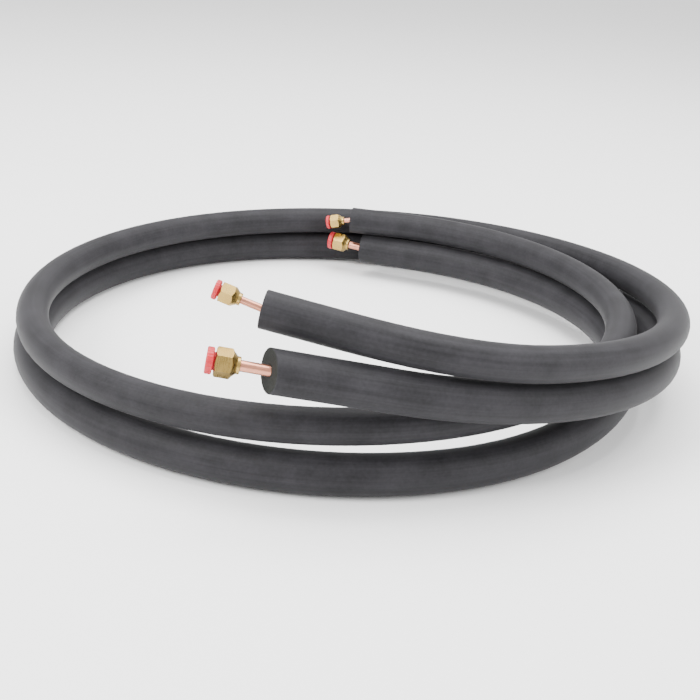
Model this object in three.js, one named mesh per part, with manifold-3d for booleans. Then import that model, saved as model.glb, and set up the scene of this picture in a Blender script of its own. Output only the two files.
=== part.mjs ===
// An insulated copper line set for a ductless air conditioner, coiled one and a half turns.
// The small liquid line lies on the large suction line. Each is a copper tube in a foam sleeve, with a
// brass flare nut on both ends and a plastic plug in each nut's mouth.
// Millimetres, +Z up. Wound angles are degrees, clockwise from above: 0 is the back of the coil, 90 its
// right side, 180 its front and 270 its left side.
import * as THREE from "three";
import { mergeVertices } from "three/addons/utils/BufferGeometryUtils.js";
import Module from "manifold-3d";

const wasm = await Module();
wasm.setup();

// Sizes of each line, its flare nut and the plug in the nut's mouth. Between the wound angles of its start
// and end a line follows the coil, and beyond them its sleeve runs straight to its cut face, which may
// slant by so many degrees. There the bare copper comes out, bent up and aside (anticlockwise from
// above) by so many degrees, and the nut is turned on it.
// freeRise is how far the line has climbed above both lines' stacked height where the suction line
// leaves the coil.
const LIQUID = {
  tube: 6.35,
  sleeve: 33,
  flare: 9.1,
  start: { angle: 10.7, straight: 62.5, cut: 0, bare: 10, up: -12, aside: 0, turn: 22 },
  end: { angle: 544.7, straight: 47.5, cut: 0, bare: 19, up: 8, aside: 0, turn: 22 },
  freeRise: 17,
  nut: { flats: 16.5, hex: 11.5, cone: 3.5, collar: 10.6, neck: 3, thread: 11.1, threadDepth: 8.5 },
  plug: { rim: 17, rimLength: 4.3, insert: 4 },
};
const SUCTION = {
  tube: 9.525,
  sleeve: 38,
  flare: 13.2,
  start: { angle: 18, straight: 81, cut: 0, bare: 19, up: 5, aside: 0, turn: 22 },
  end: { angle: 533, straight: 106, cut: 16, bare: 23.5, up: 0, aside: -2, turn: -14 },
  freeRise: 15,
  nut: { flats: 22, hex: 14, cone: 3.5, collar: 14.6, neck: 3, thread: 15.9, threadDepth: 10.5 },
  plug: { rim: 22.4, rimLength: 5.8, insert: 5 },
};
const TUBE_WALL = 0.8;
const PLUG_WALL = 1.4;
const PLUG_STANDOFF = 1.5; // from the nut's mouth to the plug's rim
const PLUG_EDGE = 0.6; // chamfer of the rim
const HEX_CHAMFER = 1.1; // along the nut, at both ends of its hexagon
const BORE_FIT = 0.35; // between a tube and its sleeve
const NUT_FIT = 0.3; // between a nut and what sits in it

// How the coil lies
const COIL_RADIUS = 333; // of the suction line where it leaves the coil
const BULGE = 19; // how far the coil springs out beyond that on its left
const TURN_GAP = 16; // between the suction line's two turns, where the outer passes the inner
const CROSS_GAP = 9; // between the liquid line's first turn and the suction line that climbs past it
const SEAT_GAP = 0.4; // between the two sleeves where one lies on the other
const LIQUID_INSET = 13; // of the liquid line, on its way round the left side
const LIQUID_END_INSET = 15.5; // of the liquid line's free end
const START_LIFT = 15.5; // of both lines' first ends above where they come to rest
const RISE_POWER = 2.3; // how the climb steepens

// Wound angles between which the lines drift outward, fall, turn back in and climb
const SUCTION_OUT = [0, 340];
const SUCTION_BACK = [305, 414];
const LIQUID_OUT = [104, 248];
const LIQUID_BACK = [511, 545];
const FALL_START = 75;
const SUCTION_DOWN = 162;
const LIQUID_DOWN = 290;
const CLIMB_START = 320;

// Facets
const SLEEVE_SIDES = 16;
const BORE_SIDES = 10;
const TUBE_SIDES = 10;
const TUBE_BORE_SIDES = 8;
const TURNED_SIDES = 20;
const STEPS = 50;

const FOAM = new THREE.MeshStandardMaterial({ color: 0x444448, roughness: 0.75 });
const COPPER = new THREE.MeshStandardMaterial({ color: 0xd99a7c, roughness: 0.3, metalness: 1 });
const BRASS = new THREE.MeshStandardMaterial({ color: 0xc9ad6a, roughness: 0.35, metalness: 1 });
const RED_PLASTIC = new THREE.MeshStandardMaterial({ color: 0xe8545a, roughness: 0.45 });

const ease = (angle, [from, to]) => THREE.MathUtils.smoothstep(angle, from, to);

// The two lines' centrelines over the wound angle
const stackHeight = SUCTION.sleeve + LIQUID.sleeve;
const climbEnd = SUCTION.end.angle;

function rise(angle, down, freeRise) {
  const climbed = Math.max(0, (angle - CLIMB_START) / (climbEnd - CLIMB_START));
  const fall = START_LIFT * (1 - ease(angle, [FALL_START, down]));
  return fall + (stackHeight + freeRise) * climbed ** RISE_POWER;
}

function suctionLay(angle) {
  const first = COIL_RADIUS - SUCTION.sleeve - TURN_GAP;
  const widest = COIL_RADIUS + BULGE;
  const out = (widest - first) * ease(angle, SUCTION_OUT);
  const back = BULGE * ease(angle, SUCTION_BACK);
  const height = SUCTION.sleeve / 2 + rise(angle, SUCTION_DOWN, SUCTION.freeRise);
  return { radius: first + out - back, height };
}

function liquidLay(angle) {
  const first = COIL_RADIUS - stackHeight / 2 - CROSS_GAP;
  const widest = COIL_RADIUS + BULGE - LIQUID_INSET;
  const out = (widest - first) * ease(angle, LIQUID_OUT);
  const back = (BULGE - LIQUID_INSET + LIQUID_END_INSET) * ease(angle, LIQUID_BACK);
  const seat = SUCTION.sleeve + SEAT_GAP + LIQUID.sleeve / 2;
  return { radius: first + out - back, height: seat + rise(angle, LIQUID_DOWN, LIQUID.freeRise) };
}

// A centreline's point at a wound angle, with its direction and its level and upright cross axes
function stationAt(lay, angle) {
  const pointAt = (degrees) => {
    const turned = THREE.MathUtils.degToRad(degrees);
    const { radius, height } = lay(degrees);
    return new THREE.Vector3(radius * Math.sin(turned), radius * Math.cos(turned), height);
  };
  const along = pointAt(angle + 0.5).sub(pointAt(angle - 0.5)).normalize();
  const level = new THREE.Vector3(0, 0, 1).cross(along).normalize();
  const upright = along.clone().cross(level);
  return { point: pointAt(angle), along, level, upright, spread: 1 };
}

// The same station moved along its own direction, for the straight ends
function moved(station, distance, spread = 1) {
  return { ...station, point: station.point.clone().addScaledVector(station.along, distance), spread };
}

// The same station with its section slanted, for a sleeve's cut face
function slanted(station, cut) {
  const slope = Math.tan(THREE.MathUtils.degToRad(cut));
  return { ...station, level: station.level.clone().addScaledVector(station.along, -slope) };
}

// The same station with its outward direction bent up and aside, for the bare copper at a line's end
function bent(station, { up, aside }, outward) {
  const { along, level, upright } = station;
  const tilt = new THREE.Quaternion().setFromAxisAngle(level, -outward * THREE.MathUtils.degToRad(up));
  const swing = new THREE.Quaternion().setFromAxisAngle(upright, THREE.MathUtils.degToRad(aside));
  const both = swing.multiply(tilt);
  const [bentAlong, bentLevel, bentUpright] = [along, level, upright].map((axis) =>
    axis.clone().applyQuaternion(both),
  );
  return { ...station, along: bentAlong, level: bentLevel, upright: bentUpright };
}

// A path through given stations, whose section may spread. Pieces that share stations keep their
// clearance from each other on every facet.
class StationPath extends THREE.Curve {
  constructor(stations) {
    super();
    this.stations = stations;
  }

  getSpacedPoints() {
    return this.stations.map(({ point }) => point);
  }

  computeFrenetFrames() {
    return {
      tangents: this.stations.map(({ along }) => along),
      normals: this.stations.map(({ level, spread }) => level.clone().multiplyScalar(spread)),
      binormals: this.stations.map(({ upright, spread }) => upright.clone().multiplyScalar(spread)),
    };
  }
}

// A regular polygon with a flat at the bottom; flatRadius is to its flats
function polygonPoints(flatRadius, sides) {
  const cornerRadius = flatRadius / Math.cos(Math.PI / sides);
  return Array.from({ length: sides }, (_, i) => {
    const turned = ((i + 0.5) / sides) * 2 * Math.PI - Math.PI / 2;
    return new THREE.Vector2(cornerRadius * Math.cos(turned), cornerRadius * Math.sin(turned));
  });
}

function sweptPipe(outer, bore, stations) {
  const section = new THREE.Shape(outer);
  section.holes.push(new THREE.Path(bore));
  const extrudePath = new StationPath(stations);
  return new THREE.ExtrudeGeometry(section, { steps: stations.length - 1, extrudePath });
}

// A turned solid along +Z from [radius, z] corners that start and end on the axis or close on
// themselves, listed so that the solid faces outward
function turned(corners) {
  const profile = corners.map(([radius, z]) => new THREE.Vector2(radius, z));
  return new THREE.LatheGeometry(profile, TURNED_SIDES).rotateX(Math.PI / 2);
}

function solidOf(geometry) {
  const bare = geometry.clone();
  bare.deleteAttribute("normal");
  bare.deleteAttribute("uv");
  const merged = mergeVertices(bare, 1e-4);
  const vertProperties = merged.attributes.position.array;
  const triVerts = new Uint32Array(merged.index.array);
  return new wasm.Manifold(new wasm.Mesh({ numProp: 3, vertProperties, triVerts }));
}

function geometryOf(solid) {
  const { vertProperties, triVerts } = solid.getMesh();
  const geometry = new THREE.BufferGeometry();
  geometry.setAttribute("position", new THREE.BufferAttribute(vertProperties, 3));
  geometry.setIndex(new THREE.BufferAttribute(triVerts, 1));
  return geometry;
}

// Where the parts inside a nut lie, measured along +Z from its narrow end
function nutPlan({ tube, flare, nut }) {
  const length = nut.neck + nut.cone + nut.hex;
  const bore = tube / 2 + NUT_FIT;
  const thread = nut.thread / 2;
  const seatTop = length - nut.threadDepth;
  const seatBottom = seatTop - (thread - bore);
  const flareStart = seatBottom + NUT_FIT * (Math.SQRT2 - 1);
  return { length, bore, thread, seatTop, seatBottom, flareStart, flareLength: (flare - tube) / 2 };
}

// A flare nut: a hexagon with chamfered corners, a cone and a neck, bored for the tube, with a
// 45 degree seat for the tube's flare and a wide threaded mouth
function flareNut(line) {
  const { nut } = line;
  const { length, bore, thread, seatTop, seatBottom } = nutPlan(line);
  const inscribed = nut.flats / 2;
  const beyondCorners = inscribed / Math.cos(Math.PI / 6) + 1;
  const chamferRun = (beyondCorners - inscribed) * (HEX_CHAMFER / (beyondCorners - 1 - inscribed));
  const hexStart = nut.neck + nut.cone;
  const hexagon = new THREE.Shape(polygonPoints(inscribed, 6));
  const prism = new THREE.ExtrudeGeometry(hexagon, { depth: length, bevelEnabled: false });
  const outline = turned([
    [0, 0],
    [nut.collar / 2, 0],
    [nut.collar / 2, nut.neck],
    [inscribed, hexStart],
    [beyondCorners, hexStart + chamferRun],
    [beyondCorners, length - chamferRun],
    [inscribed, length],
    [0, length],
  ]);
  const round = 1 / Math.cos(Math.PI / TURNED_SIDES);
  const inside = turned([
    [0, -1],
    [bore * round, -1],
    [bore * round, seatBottom],
    [thread * round, seatTop],
    [thread * round, length + 1],
    [0, length + 1],
  ]);
  return geometryOf(solidOf(prism).intersect(solidOf(outline)).subtract(solidOf(inside)));
}

// A plug: a hollow skirt that sits in the nut's mouth, and a wide rim that stands off it
function plug(line) {
  const { rim, rimLength, insert } = line.plug;
  const { length, thread } = nutPlan(line);
  const skirt = thread - NUT_FIT;
  const rimStart = length + PLUG_STANDOFF;
  const rimEnd = rimStart + rimLength;
  return turned([
    [0, rimStart],
    [skirt - PLUG_WALL, rimStart],
    [skirt - PLUG_WALL, length - insert],
    [skirt, length - insert],
    [skirt, rimStart],
    [rim / 2 - PLUG_EDGE, rimStart],
    [rim / 2, rimStart + PLUG_EDGE],
    [rim / 2, rimEnd - PLUG_EDGE],
    [rim / 2 - PLUG_EDGE, rimEnd],
    [0, rimEnd],
  ]);
}

function namedMesh(name, geometry, material) {
  const mesh = new THREE.Mesh(geometry, material);
  mesh.name = name;
  return mesh;
}

// A line's whole set of pieces: the sleeve and the tube along its lay, and a nut and a plug at each end
function lineSet(name, line, lay) {
  const group = new THREE.Group();
  const { flareStart, flareLength } = nutPlan(line);
  const { start, end } = line;
  const wound = Array.from({ length: STEPS + 1 }, (_, i) =>
    stationAt(lay, THREE.MathUtils.lerp(start.angle, end.angle, i / STEPS)),
  );
  const first = moved(wound[0], -start.straight);
  const last = moved(wound[STEPS], end.straight);
  const sleeveStations = [slanted(first, start.cut), ...wound, slanted(last, end.cut)];
  const bareStart = bent(first, start, -1);
  const bareEnd = bent(last, end, 1);
  const spread = line.flare / line.tube;
  const tubeStations = [
    moved(bareStart, -(start.bare + flareStart + flareLength), spread),
    moved(bareStart, -(start.bare + flareStart)),
    ...sleeveStations,
    moved(bareEnd, end.bare + flareStart),
    moved(bareEnd, end.bare + flareStart + flareLength, spread),
  ];
  const corner = (line.tube / 2) * Math.cos(Math.PI / TUBE_SIDES);
  const tubeOutside = polygonPoints(corner, TUBE_SIDES);
  const tubeBore = polygonPoints(corner - TUBE_WALL, TUBE_BORE_SIDES);
  const sleeveOutside = polygonPoints(line.sleeve / 2, SLEEVE_SIDES);
  const sleeveBore = polygonPoints(line.tube / 2 + BORE_FIT, BORE_SIDES);
  group.add(namedMesh(`${name}_insulation`, sweptPipe(sleeveOutside, sleeveBore, sleeveStations), FOAM));
  group.add(namedMesh(`${name}_tube`, sweptPipe(tubeOutside, tubeBore, tubeStations), COPPER));
  for (const [where, station, outward, turn] of [
    ["start", moved(bareStart, -start.bare), -1, start.turn],
    ["end", moved(bareEnd, end.bare), 1, end.turn],
  ]) {
    const fitting = new THREE.Group();
    const along = station.along.clone().multiplyScalar(outward);
    const level = station.level.clone().multiplyScalar(outward);
    const axes = new THREE.Matrix4().makeBasis(level, station.upright, along);
    fitting.position.copy(station.point);
    fitting.quaternion.setFromRotationMatrix(axes);
    fitting.rotateZ(THREE.MathUtils.degToRad(turn));
    fitting.add(namedMesh(`${name}_${where}_nut`, flareNut(line), BRASS));
    fitting.add(namedMesh(`${name}_${where}_plug`, plug(line), RED_PLASTIC));
    group.add(fitting);
  }
  return group;
}

const coil = new THREE.Group();
coil.add(lineSet("suction", SUCTION, suctionLay));
coil.add(lineSet("liquid", LIQUID, liquidLay));

// The part's origin is under the middle of its bounding box, on the floor
const box = new THREE.Box3().setFromObject(coil, true);
const middle = box.getCenter(new THREE.Vector3());
coil.position.set(-middle.x, -middle.y, -box.min.z);

const lineSetGroup = new THREE.Group();
lineSetGroup.add(coil);

export default lineSetGroup;
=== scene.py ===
"""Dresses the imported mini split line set: two foam-sleeved copper lines in one coil, with brass flare
nuts and red plugs on their ends. Sizes are in millimetres here and in metres in Blender."""

from math import cos, pi, radians, sin, sqrt, tan
from typing import NamedTuple

import bmesh
import bpy
from bpy.props import FloatProperty, FloatVectorProperty, IntProperty, PointerProperty
from mathutils import Matrix, Vector, noise


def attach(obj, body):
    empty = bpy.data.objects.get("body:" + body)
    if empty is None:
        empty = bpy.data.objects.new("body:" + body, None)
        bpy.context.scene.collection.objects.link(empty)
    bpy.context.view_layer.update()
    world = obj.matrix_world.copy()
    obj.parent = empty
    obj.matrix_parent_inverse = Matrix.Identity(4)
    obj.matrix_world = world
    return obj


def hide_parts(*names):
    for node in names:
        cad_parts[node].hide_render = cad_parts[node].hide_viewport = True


bl_info = {
    "name": "Mini split line set",
    "version": (1, 0, 0),
    "blender": (4, 5, 0),
    "location": "3D View > Sidebar > Line set",
    "description": "Builds the foam sleeves, copper tubes, flare nuts and plugs of a coiled line set",
    "category": "Object",
}

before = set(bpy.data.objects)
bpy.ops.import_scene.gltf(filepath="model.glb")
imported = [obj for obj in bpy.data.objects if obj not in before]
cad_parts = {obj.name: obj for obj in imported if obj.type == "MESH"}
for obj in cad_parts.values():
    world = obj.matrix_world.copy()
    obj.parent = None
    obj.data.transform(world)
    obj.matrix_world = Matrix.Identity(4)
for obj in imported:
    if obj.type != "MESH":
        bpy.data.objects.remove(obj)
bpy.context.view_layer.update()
MM = 0.001


# How the lines lie, as in the part's source

class End(NamedTuple):
    """Where a line leaves the coil's curve (wound angle), the sleeve's straight beyond it, the slant of its
    cut face, and the bare copper, which is bent up and aside. The nut's hexagon is turned on it."""
    angle: float
    straight: float
    cut: float
    bare: float
    up: float
    aside: float
    turn: float


class Nut(NamedTuple):
    flats: float
    hexagon: float
    cone: float
    collar: float
    neck: float
    thread: float
    thread_depth: float
    pitch: float


class Plug(NamedTuple):
    rim: float
    rim_length: float
    insert: float


class Line(NamedTuple):
    name: str
    tube: float
    sleeve: float
    flare: float
    start: End
    end: End
    free_rise: float
    nut: Nut
    plug: Plug


LIQUID = Line(
    "liquid", 6.35, 33, 9.1,
    End(10.7, 62.5, 0, 10, -12, 0, 22), End(544.7, 47.5, 0, 19, 8, 0, 22), 17,
    Nut(16.5, 11.5, 3.5, 10.6, 3, 11.1, 8.5, 1.27), Plug(17, 4.3, 4),
)
SUCTION = Line(
    "suction", 9.525, 38, 13.2,
    End(18, 81, 0, 19, 5, 0, 22), End(533, 106, 16, 23.5, 0, -2, -14), 15,
    Nut(22, 14, 3.5, 14.6, 3, 15.9, 10.5, 1.41), Plug(22.4, 5.8, 5),
)
ENDS = ("start", "end")
COIL_AXIS = Vector((3.5455, -0.0691, 0)) * MM
COIL_RADIUS = 333
BULGE = 19
TURN_GAP = 16
CROSS_GAP = 9
SEAT_GAP = 0.4
LIQUID_INSET = 13
LIQUID_END_INSET = 15.5
START_LIFT = 15.5
RISE_POWER = 2.3
SUCTION_OUT = (0, 340)
SUCTION_BACK = (305, 414)
LIQUID_OUT = (104, 248)
LIQUID_BACK = (511, 545)
FALL_START = 75
SUCTION_DOWN = 162
LIQUID_DOWN = 290
CLIMB_START = 320
TUBE_WALL = 0.8
PLUG_WALL = 1.4
PLUG_STANDOFF = 1.5
HEX_CHAMFER = 1.1
BORE_FIT = 0.35
NUT_FIT = 0.3
STACK = SUCTION.sleeve + LIQUID.sleeve
RING_SIDES = 48
SHARP_ANGLE = 35

# How a sleeve swells along its length, in turns of the noise per millimetre
LONG_SWELL = 0.012
SHORT_SWELL = 0.05

# Small edges of the nuts: at the collar, inside a corner, round the mouth, and the thread's groove
COLLAR_EDGE = 0.4
FACE_INSET = 0.15
MOUTH_BEVEL = 0.7
GROOVE_SHARE = 0.45

# Stands in for the flare's own length in the streaks along a tube, where the nut hides it
FLARE_LAY = 40

# Where masks start and end when they blend two colours or two values
MASK_LOW = 0.3
MASK_HIGH = 0.7

# The photograph's view: elevation and roll in degrees, the rest in metres and pixels
VIEW_ELEVATION = 22.12
VIEW_ROLL = 3.70
VIEW_DISTANCE = 1.24622
VIEW_TARGET = (0.004336, -0.062109, 0.03)
SENSOR_WIDTH = 36
FOCAL_PIXELS = 1180
PHOTO_PIXELS = 700
CLIP_END = 60

# The stage: each light's name, place, size and power, the world's strength and half the floor's side
LIGHTS = (
    ("overhead", (0.1, 0.4, 2.4), (2.6, 2.0), 130),
    ("key", (-1.8, -1.2, 1.7), (1.2, 1.2), 85),
    ("fill", (2.2, -1.0, 1.4), (1.6, 1.6), 45),
)
WORLD_STRENGTH = 1.3
FLOOR_HALF = 12


def ease(angle, span):
    share = min(max((angle - span[0]) / (span[1] - span[0]), 0), 1)
    return share * share * (3 - 2 * share)


def rise(angle, down, free_rise):
    climbed = max(0, (angle - CLIMB_START) / (SUCTION.end.angle - CLIMB_START))
    fall = START_LIFT * (1 - ease(angle, (FALL_START, down)))
    return fall + (STACK + free_rise) * climbed ** RISE_POWER


def suction_lay(angle):
    first = COIL_RADIUS - SUCTION.sleeve - TURN_GAP
    out = (COIL_RADIUS + BULGE - first) * ease(angle, SUCTION_OUT)
    radius = first + out - BULGE * ease(angle, SUCTION_BACK)
    return radius, SUCTION.sleeve / 2 + rise(angle, SUCTION_DOWN, SUCTION.free_rise)


def liquid_lay(angle):
    first = COIL_RADIUS - STACK / 2 - CROSS_GAP
    out = (COIL_RADIUS + BULGE - LIQUID_INSET - first) * ease(angle, LIQUID_OUT)
    back = (BULGE - LIQUID_INSET + LIQUID_END_INSET) * ease(angle, LIQUID_BACK)
    seat = SUCTION.sleeve + SEAT_GAP + LIQUID.sleeve / 2
    return first + out - back, seat + rise(angle, LIQUID_DOWN, LIQUID.free_rise)


LAYS = {LIQUID.name: liquid_lay, SUCTION.name: suction_lay}


def point_at(lay, angle):
    radius, height = lay(angle)
    turned = radians(angle)
    return COIL_AXIS + Vector((radius * sin(turned), radius * cos(turned), height)) * MM


def station_at(lay, angle):
    """A matrix at a wound angle: x is level across the line, y upright and z along it."""
    along = (point_at(lay, angle + 0.5) - point_at(lay, angle - 0.5)).normalized()
    level = Vector((0, 0, 1)).cross(along).normalized()
    axes = Matrix((level, along.cross(level), along)).transposed().to_4x4()
    return Matrix.Translation(point_at(lay, angle)) @ axes


def moved(station, distance):
    return station @ Matrix.Translation((0, 0, distance * MM))


def slanted(station, cut):
    shear = Matrix.Identity(4)
    shear[2][0] = -tan(radians(cut))
    return station @ shear


def bent(station, end, outward):
    aside = Matrix.Rotation(radians(end.aside), 4, "Y")
    return station @ aside @ Matrix.Rotation(-outward * radians(end.up), 4, "X")


def sleeve_stations(line, steps):
    """Stations along the sleeve from face to face, with the length of line at each."""
    lay = LAYS[line.name]
    span = line.end.angle - line.start.angle
    wound = [station_at(lay, line.start.angle + span * i / steps) for i in range(steps + 1)]
    before = [moved(wound[0], -line.start.straight * share) for share in (1, 0.6, 0.25)]
    after = [moved(wound[-1], line.end.straight * share) for share in (0.25, 0.6, 1)]
    before[0], after[-1] = slanted(before[0], line.start.cut), slanted(after[-1], line.end.cut)
    stations = before + wound + after
    length = 0
    measured = [(stations[0], 0)]
    for earlier, later in zip(stations, stations[1:]):
        length += (later.translation - earlier.translation).length / MM
        measured.append((later, length))
    return measured


def bare_stations(line):
    """The bare copper's direction at both ends, from the sleeve's faces."""
    lay = LAYS[line.name]
    first = moved(station_at(lay, line.start.angle), -line.start.straight)
    last = moved(station_at(lay, line.end.angle), line.end.straight)
    return bent(first, line.start, -1), bent(last, line.end, 1)


def fitting_frame(line, where):
    """A nut's frame: z runs outward from its narrow end, and x points to a corner or flat as turned."""
    start, end = bare_stations(line)
    if where == "start":
        outward = moved(start, -line.start.bare) @ Matrix.Rotation(pi, 4, "Y")
        return outward @ Matrix.Rotation(radians(line.start.turn), 4, "Z")
    return moved(end, line.end.bare) @ Matrix.Rotation(radians(line.end.turn), 4, "Z")


# Shapes from rings

class Ring(NamedTuple):
    """One loop of a swept or turned piece. reach(turned) is its radius and drop(turned) how far a point
    stands below the ring's plane; length is how far along the piece it is."""
    station: Matrix
    radius: float
    length: float
    face: int = 0
    reach: object = None
    drop: object = None


def set_ring(verts, ring, lay_layer):
    for i, vert in enumerate(verts):
        turned = 2 * pi * i / len(verts)
        radius = ring.reach(turned) if ring.reach else ring.radius
        below = ring.drop(turned) if ring.drop else 0
        local = Vector((radius * cos(turned), radius * sin(turned), -below)) * MM
        vert.co = ring.station @ local
        vert[lay_layer] = (local.x, local.y, ring.length * MM - below * MM)


def ring_piece(name, rings, sides=RING_SIDES, closed=True):
    """A piece through rings in order, closed on itself, or with both its ends filled."""
    bm = bmesh.new()
    lay_layer = bm.verts.layers.float_vector.new("lay")
    verts = bmesh.ops.create_circle(bm, segments=sides, radius=1)["verts"]
    first = verts
    set_ring(verts, rings[0], lay_layer)
    for ring in rings[1:]:
        edges = [bm.edges.get((a, b)) for a, b in zip(verts, verts[1:] + verts[:1])]
        grown = bmesh.ops.extrude_edge_only(bm, edges=edges)["geom"]
        new = {item for item in grown if isinstance(item, bmesh.types.BMVert)}
        verts = [next(e.other_vert(v) for e in v.link_edges if e.other_vert(v) in new) for v in verts]
        set_ring(verts, ring, lay_layer)
        for item in grown:
            if isinstance(item, bmesh.types.BMFace):
                item.material_index = ring.face
    loops = [[bm.edges.get((a, b)) for a, b in zip(loop, loop[1:] + loop[:1])] for loop in (first, verts)]
    if closed:
        bmesh.ops.bridge_loops(bm, edges=loops[0] + loops[1])
    else:
        for loop in (first, verts):
            bmesh.ops.contextual_create(bm, geom=loop)
    bmesh.ops.recalc_face_normals(bm, faces=bm.faces)
    for face in bm.faces:
        face.smooth = True
    mesh = bpy.data.meshes.new(name)
    bm.to_mesh(mesh)
    bm.free()
    mesh.set_sharp_from_angle(angle=radians(SHARP_ANGLE))
    piece = bpy.data.objects.new(name, mesh)
    bpy.context.scene.collection.objects.link(piece)
    return piece


def rounded_edges(piece, width, segments=2):
    bevel = piece.modifiers.new("Rounded edges", "BEVEL")
    bevel.width = width * MM
    bevel.segments = segments
    bevel.limit_method = "ANGLE"
    bevel.angle_limit = radians(SHARP_ANGLE)
    bevel.harden_normals = True


def dress(piece, node, body, slot, *materials):
    for material in materials:
        piece.data.materials.append(material)
    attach(piece, body)
    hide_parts(node)


# Materials

def build_group(name, inputs, outputs, wire):
    """A node group with named inputs and outputs, wired once by wire(nodes, links, in, out)."""
    group = bpy.data.node_groups.get(name)
    if group:
        return group
    group = bpy.data.node_groups.new(name, "ShaderNodeTree")
    for label, kind, default in inputs:
        socket = group.interface.new_socket(label, in_out="INPUT", socket_type=kind)
        if default is not None:
            socket.default_value = default
    for label, kind in outputs:
        group.interface.new_socket(label, in_out="OUTPUT", socket_type=kind)
    entry = group.nodes.new("NodeGroupInput")
    result = group.nodes.new("NodeGroupOutput")
    wire(group, entry, result)
    return group


def streaks_group():
    """Streaks drawn out along a line: out of the die on foam, off the drawing bench on copper."""
    def wire(group, entry, result):
        mapping = group.nodes.new("ShaderNodeMapping")
        mapping.inputs["Scale"].default_value = (1, 1, 0.02)
        texture = group.nodes.new("ShaderNodeTexNoise")
        texture.inputs["Detail"].default_value = 4
        texture.inputs["Roughness"].default_value = 0.6
        group.links.new(entry.outputs["Lay"], mapping.inputs["Vector"])
        group.links.new(mapping.outputs["Vector"], texture.inputs["Vector"])
        group.links.new(entry.outputs["Scale"], texture.inputs["Scale"])
        group.links.new(texture.outputs["Fac"], result.inputs["Streak"])
    inputs = (("Lay", "NodeSocketVector", None), ("Scale", "NodeSocketFloat", 600.0))
    return build_group("streaks_along", inputs, (("Streak", "NodeSocketFloat"),), wire)


def patches_group():
    """Soft uneven patches, such as handling marks, with finer mottling in them."""
    def wire(group, entry, result):
        broad = group.nodes.new("ShaderNodeTexNoise")
        broad.inputs["Detail"].default_value = 3
        fine = group.nodes.new("ShaderNodeTexNoise")
        fine.inputs["Detail"].default_value = 2
        finer = group.nodes.new("ShaderNodeMath")
        finer.operation = "MULTIPLY"
        finer.inputs[1].default_value = 9
        mixed = group.nodes.new("ShaderNodeMix")
        mixed.inputs["Factor"].default_value = 0.35
        for texture in (broad, fine):
            group.links.new(entry.outputs["Lay"], texture.inputs["Vector"])
        group.links.new(entry.outputs["Scale"], broad.inputs["Scale"])
        group.links.new(entry.outputs["Scale"], finer.inputs[0])
        group.links.new(finer.outputs[0], fine.inputs["Scale"])
        group.links.new(broad.outputs["Fac"], mixed.inputs["A"])
        group.links.new(fine.outputs["Fac"], mixed.inputs["B"])
        group.links.new(mixed.outputs["Result"], result.inputs["Patch"])
    inputs = (("Lay", "NodeSocketVector", None), ("Scale", "NodeSocketFloat", 20.0))
    return build_group("soft_patches", inputs, (("Patch", "NodeSocketFloat"),), wire)


def pores_group():
    """Small round cells: the skin of foam, its cut face, or the grain of moulded plastic."""
    def wire(group, entry, result):
        cells = group.nodes.new("ShaderNodeTexVoronoi")
        cells.feature = "SMOOTH_F1"
        group.links.new(entry.outputs["Lay"], cells.inputs["Vector"])
        group.links.new(entry.outputs["Scale"], cells.inputs["Scale"])
        group.links.new(cells.outputs["Distance"], result.inputs["Pore"])
    inputs = (("Lay", "NodeSocketVector", None), ("Scale", "NodeSocketFloat", 900.0))
    return build_group("round_pores", inputs, (("Pore", "NodeSocketFloat"),), wire)


class Finish:
    """A material under construction: its shader, and short ways to add and join nodes."""

    def __init__(self, name, roughness, metallic=0.0):
        self.material = bpy.data.materials.new(name)
        self.material.use_nodes = True
        self.tree = self.material.node_tree
        self.shader = self.tree.nodes["Principled BSDF"]
        self.shader.inputs["Roughness"].default_value = roughness
        self.shader.inputs["Metallic"].default_value = metallic
        lay = self.tree.nodes.new("ShaderNodeAttribute")
        lay.attribute_name = "lay"
        self.lay = lay.outputs["Vector"]

    def group(self, group, scale, output):
        node = self.tree.nodes.new("ShaderNodeGroup")
        node.node_tree = group
        node.inputs["Scale"].default_value = scale
        self.tree.links.new(self.lay, node.inputs["Lay"])
        return node.outputs[output]

    def blend(self, share, low, high):
        """Runs between two colours by a mask."""
        ramp = self.tree.nodes.new("ShaderNodeValToRGB")
        ramp.color_ramp.elements[0].position = MASK_LOW
        ramp.color_ramp.elements[1].position = MASK_HIGH
        ramp.color_ramp.elements[0].color = (*low, 1)
        ramp.color_ramp.elements[1].color = (*high, 1)
        self.tree.links.new(share, ramp.inputs["Fac"])
        return ramp.outputs["Color"]

    def range(self, share, low, high):
        node = self.tree.nodes.new("ShaderNodeMapRange")
        node.inputs["From Min"].default_value = MASK_LOW
        node.inputs["From Max"].default_value = MASK_HIGH
        node.inputs["To Min"].default_value = low
        node.inputs["To Max"].default_value = high
        self.tree.links.new(share, node.inputs["Value"])
        return node.outputs["Result"]

    def sum(self, first, second, share):
        node = self.tree.nodes.new("ShaderNodeMix")
        node.inputs["Factor"].default_value = share
        self.tree.links.new(first, node.inputs["A"])
        self.tree.links.new(second, node.inputs["B"])
        return node.outputs["Result"]

    def bump(self, height, depth, strength=1.0):
        node = self.tree.nodes.new("ShaderNodeBump")
        node.inputs["Strength"].default_value = strength
        node.inputs["Distance"].default_value = depth * MM
        self.tree.links.new(height, node.inputs["Height"])
        self.tree.links.new(node.outputs["Normal"], self.shader.inputs["Normal"])

    def feed(self, socket, value):
        self.tree.links.new(value, self.shader.inputs[socket])


def shade(colour, factor):
    return tuple(channel * factor for channel in colour)


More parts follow.
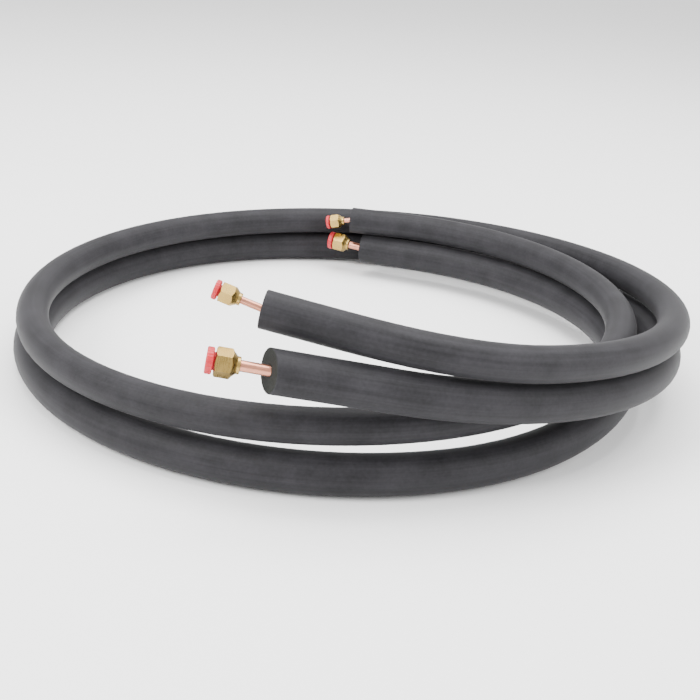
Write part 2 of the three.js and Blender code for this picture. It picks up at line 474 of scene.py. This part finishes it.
def foam_skin(colours):
    """Extruded closed-cell foam with a satin skin: faint lengthwise drag lines, fine pores and dust."""
    finish = Finish("foam_skin", 0.5)
    finish.shader.inputs["Specular IOR Level"].default_value = 0.15
    finish.shader.inputs["Sheen Weight"].default_value = 0.05
    finish.shader.inputs["Sheen Roughness"].default_value = 0.4
    patch = finish.group(patches_group(), 38, "Patch")
    streak = finish.group(streaks_group(), 300, "Streak")
    pore = finish.group(pores_group(), 1100, "Pore")
    tone = finish.sum(patch, streak, 0.4)
    foam = tuple(colours.foam)
    finish.feed("Base Color", finish.blend(tone, shade(foam, 0.45), shade(foam, 1.8)))
    finish.feed("Roughness", finish.range(tone, 0.5, 0.66))
    finish.bump(finish.sum(pore, streak, 0.45), 0.25, 0.5)
    return finish.material


def foam_cut(colours):
    """The knife-cut end of a sleeve: open cells, duller and a little greener than the skin."""
    finish = Finish("foam_cut", 0.85)
    finish.shader.inputs["Specular IOR Level"].default_value = 0.3
    pore = finish.group(pores_group(), 950, "Pore")
    patch = finish.group(patches_group(), 120, "Patch")
    cut = tuple(colours.cut_foam)
    finish.feed("Base Color", finish.blend(finish.sum(pore, patch, 0.5), shade(cut, 0.6), shade(cut, 1.35)))
    finish.bump(finish.sum(pore, patch, 0.3), 0.6, 0.9)
    return finish.material


def copper_skin(colours):
    """Bright annealed copper with drawing lines and faint duller patches."""
    finish = Finish("soft_copper", 0.3, 1.0)
    streak = finish.group(streaks_group(), 1400, "Streak")
    patch = finish.group(patches_group(), 130, "Patch")
    tone = finish.sum(patch, streak, 0.55)
    copper = tuple(colours.copper)
    finish.feed("Base Color", finish.blend(tone, shade(copper, 0.72), shade(copper, 1.08)))
    finish.feed("Roughness", finish.range(tone, 0.22, 0.42))
    finish.bump(streak, 0.05, 0.5)
    return finish.material


def brass_skin(colours):
    """Turned and milled brass: tool marks round the nut, a slightly uneven tone from handling."""
    finish = Finish("turned_brass", 0.28, 1.0)
    around = finish.tree.nodes.new("ShaderNodeMapping")
    around.inputs["Scale"].default_value = (0.03, 0.03, 1)
    marks = finish.tree.nodes.new("ShaderNodeTexNoise")
    marks.inputs["Scale"].default_value = 2600
    marks.inputs["Detail"].default_value = 3
    finish.tree.links.new(finish.lay, around.inputs["Vector"])
    finish.tree.links.new(around.outputs["Vector"], marks.inputs["Vector"])
    patch = finish.group(patches_group(), 160, "Patch")
    tone = finish.sum(patch, marks.outputs["Fac"], 0.45)
    brass = tuple(colours.brass)
    finish.feed("Base Color", finish.blend(tone, shade(brass, 0.7), shade(brass, 1.1)))
    finish.feed("Roughness", finish.range(tone, 0.2, 0.4))
    finish.bump(marks.outputs["Fac"], 0.04, 0.6)
    return finish.material


def plastic_skin(colours):
    """Soft moulded plastic with a fine grain."""
    finish = Finish("red_plastic", 0.42)
    finish.shader.inputs["Subsurface Weight"].default_value = 0.15
    finish.shader.inputs["Subsurface Radius"].default_value = (0.002, 0.0006, 0.0004)
    pore = finish.group(pores_group(), 1500, "Pore")
    patch = finish.group(patches_group(), 140, "Patch")
    red = tuple(colours.plastic)
    finish.feed("Base Color", finish.blend(patch, shade(red, 0.86), shade(red, 1.1)))
    finish.feed("Roughness", finish.range(patch, 0.36, 0.52))
    finish.bump(pore, 0.08, 0.4)
    return finish.material


# Pieces

def sleeve_rings(line, sizes):
    """Down the outside of a sleeve, over its cut face and back through its bore."""
    stations = sleeve_stations(line, sizes.sleeve_steps)
    whole = stations[-1][1]
    outer = line.sleeve / 2
    bore = line.tube / 2 + BORE_FIT
    edge = sizes.cut_edge / MM
    uneven = sizes.unevenness
    first, last = stations[0][0], stations[-1][0]
    rings = [Ring(first, bore, 0), Ring(first, outer - edge, 0, 1), Ring(moved(first, edge), outer, edge)]
    for station, length in stations[1:-1]:
        wave = noise.noise(Vector((length * LONG_SWELL, outer, 0)))
        wave += 0.5 * noise.noise(Vector((length * SHORT_SWELL, 0, 7)))
        rings.append(Ring(station, outer * (1 + uneven * (wave - 1)), length))
    rings.append(Ring(moved(last, -edge), outer, whole - edge))
    rings.append(Ring(last, outer - edge, whole))
    rings.append(Ring(last, bore, whole, 1))
    for station, length in stations[-2:0:-1]:
        rings.append(Ring(station, bore, length))
    return rings


def tube_rings(line, sizes):
    """Down the outside of a tube, with its flare in the nut at both ends, and back through its bore."""
    stations = sleeve_stations(line, sizes.sleeve_steps)
    whole = stations[-1][1]
    start, end = bare_stations(line)
    tube = line.tube / 2
    flare_start = nut_plan(line)["flare_start"]
    flare_length = (line.flare - line.tube) / 2
    bend = min(line.start.bare, line.end.bare) / 3
    half_start, half_end = stations[0][0].lerp(start, 0.5), stations[-1][0].lerp(end, 0.5)
    path = [
        (moved(start, -(line.start.bare + flare_start + flare_length)), line.flare / 2, -2),
        (moved(start, -(line.start.bare + flare_start)), tube, -1),
        (moved(start, -bend), tube, -bend),
        (half_start, tube, 0),
        *[(station, tube, length) for station, length in stations[1:-1]],
        (half_end, tube, whole),
        (moved(end, bend), tube, whole + bend),
        (moved(end, line.end.bare + flare_start), tube, whole + line.end.bare + flare_start),
        (moved(end, line.end.bare + flare_start + flare_length), line.flare / 2, whole + FLARE_LAY),
    ]
    outside = [Ring(station, radius, length) for station, radius, length in path]
    inside = [Ring(station, radius - TUBE_WALL, length) for station, radius, length in reversed(path)]
    return outside + inside


def nut_plan(line):
    nut = line.nut
    length = nut.neck + nut.cone + nut.hexagon
    bore = line.tube / 2 + NUT_FIT
    seat_top = length - nut.thread_depth
    seat_bottom = seat_top - (nut.thread / 2 - bore)
    return {
        "length": length,
        "bore": bore,
        "seat_top": seat_top,
        "seat_bottom": seat_bottom,
        "flare_start": seat_bottom + NUT_FIT * (sqrt(2) - 1),
    }


def nut_rings(line, where):
    """From the neck's bore out, up the cone and hexagon, over the mouth, down the thread and the seat."""
    nut = line.nut
    plan = nut_plan(line)
    frame_here = fitting_frame(line, where)
    inscribed = nut.flats / 2
    corner = inscribed / cos(pi / 6)
    slope = HEX_CHAMFER / (corner - inscribed)
    thread = nut.thread / 2
    groove = nut.pitch * GROOVE_SHARE

    def to_flat(turned):
        """The hexagon's reach. Its flats face up and down before the nut is turned."""
        return inscribed / cos((turned - pi / 3) % (pi / 3) - pi / 6)

    def chamfer(turned):
        return (to_flat(turned) - inscribed) * slope

    def at(radius, height, **more):
        return Ring(moved(frame_here, height), radius, height, **more)

    rings = [
        at(plan["bore"], 0),
        at(nut.collar / 2 - COLLAR_EDGE, 0),
        at(nut.collar / 2, COLLAR_EDGE),
        at(nut.collar / 2, nut.neck - 0.3),
        at(nut.collar / 2 + 0.25, nut.neck),
        at(inscribed - FACE_INSET, nut.neck + nut.cone - 0.1),
        at(corner, nut.neck + nut.cone, reach=to_flat, drop=lambda turned: -chamfer(turned)),
        at(corner, plan["length"], reach=to_flat, drop=chamfer),
        at(inscribed - FACE_INSET, plan["length"]),
        at(thread + MOUTH_BEVEL, plan["length"]),
        at(thread, plan["length"] - MOUTH_BEVEL),
    ]
    height = plan["length"] - MOUTH_BEVEL
    while height - nut.pitch > plan["seat_top"] + 0.4:
        rings.append(at(thread, height - nut.pitch * 0.15))
        rings.append(at(thread + groove, height - nut.pitch * 0.5))
        rings.append(at(thread, height - nut.pitch * 0.85))
        height -= nut.pitch
    rings.append(at(thread, plan["seat_top"]))
    rings.append(at(plan["bore"], plan["seat_bottom"]))
    return rings


def plug_rings(line, where, sizes):
    """From inside the skirt out and down it, up to the ribbed rim, and over its dished face."""
    frame_here = fitting_frame(line, where)
    plan = nut_plan(line)
    plug = line.plug
    length = plan["length"]
    skirt = line.nut.thread / 2 - NUT_FIT
    rim = plug.rim / 2
    rim_start = length + PLUG_STANDOFF
    rim_end = rim_start + plug.rim_length
    rib = sizes.rib_depth / MM

    def ribbed(turned):
        return rim - rib * (0.5 + 0.5 * cos(turned * sizes.rib_count))

    def at(radius, height, **more):
        return Ring(moved(frame_here, height), radius, height, **more)

    return [
        at(0.4, rim_start + 0.6),
        at(skirt - PLUG_WALL, rim_start + 0.6),
        at(skirt - PLUG_WALL + 0.2, length - plug.insert),
        at(skirt - 0.4, length - plug.insert),
        at(skirt, length - plug.insert + 0.6),
        at(skirt, length + 0.2),
        at(skirt - 0.3, length + 0.5),
        at(skirt, rim_start),
        at(rim - 1.0, rim_start),
        at(rim - 0.5, rim_start + 0.25),
        at(rim, rim_start + 0.75, reach=ribbed),
        at(rim, rim_end - 0.75, reach=ribbed),
        at(rim - 0.5, rim_end - 0.2),
        at(rim - 1.0, rim_end),
        at(rim * 0.62, rim_end),
        at(rim * 0.56, rim_end - 0.5),
        at(0.4, rim_end - 0.55),
    ]


# Add-on

class LineSetSizes(bpy.types.PropertyGroup):
    sleeve_steps: IntProperty(
        name="Sleeve steps", description="Rings along each sleeve's wound part", default=150, min=50,
        max=300)
    unevenness: FloatProperty(
        name="Unevenness", description="How far a sleeve swells and narrows, as a share of its radius",
        default=0.006, min=0, max=0.02, subtype="FACTOR")
    cut_edge: FloatProperty(
        name="Cut edge", description="Rounding of a sleeve's knife-cut edge", default=0.5 * MM, min=0,
        max=2 * MM, unit="LENGTH")
    rib_count: IntProperty(
        name="Ribs", description="Grip ribs round a plug's rim", default=24, min=6, max=40)
    rib_depth: FloatProperty(
        name="Rib depth", description="Depth of the grooves between a plug's ribs", default=0.3 * MM, min=0,
        max=1 * MM, unit="LENGTH")


class LineSetColours(bpy.types.PropertyGroup):
    foam: FloatVectorProperty(
        name="Foam", description="Skin of the foam sleeves", default=(0.0180, 0.0173, 0.0195), min=0, max=1,
        subtype="COLOR")
    cut_foam: FloatVectorProperty(
        name="Cut foam", description="Knife-cut ends of the sleeves", default=(0.0085, 0.0098, 0.0080),
        min=0, max=1, subtype="COLOR")
    copper: FloatVectorProperty(
        name="Copper", description="Tubes", default=(0.68, 0.30, 0.20), min=0, max=1, subtype="COLOR")
    brass: FloatVectorProperty(
        name="Brass", description="Flare nuts", default=(0.46, 0.31, 0.095), min=0, max=1, subtype="COLOR")
    plastic: FloatVectorProperty(
        name="Plastic", description="Plugs", default=(0.50, 0.009, 0.020), min=0, max=1, subtype="COLOR")
    floor: FloatVectorProperty(
        name="Floor", description="Studio floor", default=(0.97, 0.97, 0.97), min=0, max=1, subtype="COLOR")


class LINESET_OT_sleeves(bpy.types.Operator):
    """Foam sleeves of both lines, with cut ends"""
    bl_idname = "lineset.sleeves"
    bl_label = "Foam sleeves"

    def execute(self, context):
        colours, sizes = context.scene.line_set_colours, context.scene.line_set_sizes
        skin, cut = foam_skin(colours), foam_cut(colours)
        for line in (LIQUID, SUCTION):
            piece = ring_piece(f"{line.name}_foam_sleeve", sleeve_rings(line, sizes))
            dress(piece, f"{line.name}_insulation", "lines", "foam", skin, cut)
        return {"FINISHED"}


class LINESET_OT_tubes(bpy.types.Operator):
    """Copper tubes of both lines, flared in their nuts"""
    bl_idname = "lineset.tubes"
    bl_label = "Copper tubes"

    def execute(self, context):
        copper = copper_skin(context.scene.line_set_colours)
        for line in (LIQUID, SUCTION):
            rings = tube_rings(line, context.scene.line_set_sizes)
            piece = ring_piece(f"{line.name}_copper_tube", rings, sides=32)
            dress(piece, f"{line.name}_tube", "lines", "copper", copper)
        return {"FINISHED"}


class LINESET_OT_nuts(bpy.types.Operator):
    """Brass flare nut on each end of both lines"""
    bl_idname = "lineset.nuts"
    bl_label = "Flare nuts"

    def execute(self, context):
        brass = brass_skin(context.scene.line_set_colours)
        for line in (LIQUID, SUCTION):
            for where in ENDS:
                node = f"{line.name}_{where}_nut"
                piece = ring_piece(f"{line.name}_{where}_flare_nut", nut_rings(line, where), sides=72)
                rounded_edges(piece, 0.18)
                dress(piece, node, node, "brass", brass)
        return {"FINISHED"}


class LINESET_OT_plugs(bpy.types.Operator):
    """Red plug in the mouth of each nut"""
    bl_idname = "lineset.plugs"
    bl_label = "Plugs"

    def execute(self, context):
        plastic = plastic_skin(context.scene.line_set_colours)
        sizes = context.scene.line_set_sizes
        for line in (LIQUID, SUCTION):
            for where in ENDS:
                node = f"{line.name}_{where}_plug"
                rings = plug_rings(line, where, sizes)
                piece = ring_piece(f"{line.name}_{where}_red_plug", rings, sides=144, closed=False)
                rounded_edges(piece, 0.12)
                dress(piece, node, node, "red_plastic", plastic)
        return {"FINISHED"}


class LINESET_OT_stage(bpy.types.Operator):
    """Pale floor, soft light and the camera"""
    bl_idname = "lineset.stage"
    bl_label = "Stage"

    def execute(self, context):
        add_floor(context.scene.line_set_colours)
        add_lights()
        add_camera()
        return {"FINISHED"}


def add_floor(colours):
    bm = bmesh.new()
    bmesh.ops.create_grid(bm, x_segments=1, y_segments=1, size=FLOOR_HALF)
    mesh = bpy.data.meshes.new("floor")
    bm.to_mesh(mesh)
    bm.free()
    floor = bpy.data.objects.new("floor", mesh)
    bpy.context.scene.collection.objects.link(floor)
    material = bpy.data.materials.new("pale_floor")
    material.use_nodes = True
    shader = material.node_tree.nodes["Principled BSDF"]
    shader.inputs["Base Color"].default_value = (*colours.floor, 1)
    shader.inputs["Roughness"].default_value = 0.9
    mesh.materials.append(material)


def add_light(name, place, size, power):
    light = bpy.data.lights.new(name, "AREA")
    light.shape = "RECTANGLE"
    light.size, light.size_y = size
    light.energy = power
    lamp = bpy.data.objects.new(name, light)
    bpy.context.scene.collection.objects.link(lamp)
    lamp.location = place
    lamp.rotation_euler = Vector(place).to_track_quat("Z", "Y").to_euler()


def add_lights():
    for name, place, size, power in LIGHTS:
        add_light(name, place, size, power)
    world = bpy.data.worlds.new("studio")
    bpy.context.scene.world = world
    world.use_nodes = True
    background = world.node_tree.nodes["Background"]
    background.inputs["Color"].default_value = (1, 1, 1, 1)
    background.inputs["Strength"].default_value = WORLD_STRENGTH


def add_camera():
    """The photograph's view: from the front, 22 degrees above the level, rolled by nearly 4 degrees."""
    elevation, roll = radians(VIEW_ELEVATION), radians(VIEW_ROLL)
    back = Vector((0, -cos(elevation), sin(elevation)))
    right = Vector((1, 0, 0))
    up = back.cross(right)
    rolled_right = right * cos(roll) + up * sin(roll)
    rolled_up = up * cos(roll) - right * sin(roll)
    lens = bpy.data.cameras.new("camera")
    lens.sensor_width = SENSOR_WIDTH
    lens.lens = SENSOR_WIDTH * FOCAL_PIXELS / PHOTO_PIXELS
    lens.clip_end = CLIP_END
    camera = bpy.data.objects.new("camera", lens)
    bpy.context.scene.collection.objects.link(camera)
    axes = Matrix((rolled_right, rolled_up, back)).transposed().to_4x4()
    camera.matrix_world = Matrix.Translation(Vector(VIEW_TARGET) + back * VIEW_DISTANCE) @ axes
    bpy.context.scene.camera = camera


OPERATORS = (LINESET_OT_sleeves, LINESET_OT_tubes, LINESET_OT_nuts, LINESET_OT_plugs, LINESET_OT_stage)


class LINESET_PT_panel(bpy.types.Panel):
    """Sizes, colours and pieces of the line set"""
    bl_label = "Line set"
    bl_idname = "LINESET_PT_panel"
    bl_space_type = "VIEW_3D"
    bl_region_type = "UI"
    bl_category = "Line set"

    def draw(self, context):
        for group in (context.scene.line_set_sizes, context.scene.line_set_colours):
            for name in group.__annotations__:
                self.layout.prop(group, name)
        for operator in OPERATORS:
            self.layout.operator(operator.bl_idname)


CLASSES = (LineSetSizes, LineSetColours, *OPERATORS, LINESET_PT_panel)


def register():
    for item in CLASSES:
        bpy.utils.register_class(item)
    bpy.types.Scene.line_set_sizes = PointerProperty(type=LineSetSizes)
    bpy.types.Scene.line_set_colours = PointerProperty(type=LineSetColours)


def unregister():
    del bpy.types.Scene.line_set_colours
    del bpy.types.Scene.line_set_sizes
    for item in reversed(CLASSES):
        bpy.utils.unregister_class(item)


def main():
    register()
    bpy.ops.lineset.sleeves()
    bpy.ops.lineset.tubes()
    bpy.ops.lineset.nuts()
    bpy.ops.lineset.plugs()
    bpy.ops.lineset.stage()


if __name__ == "__main__":
    main()
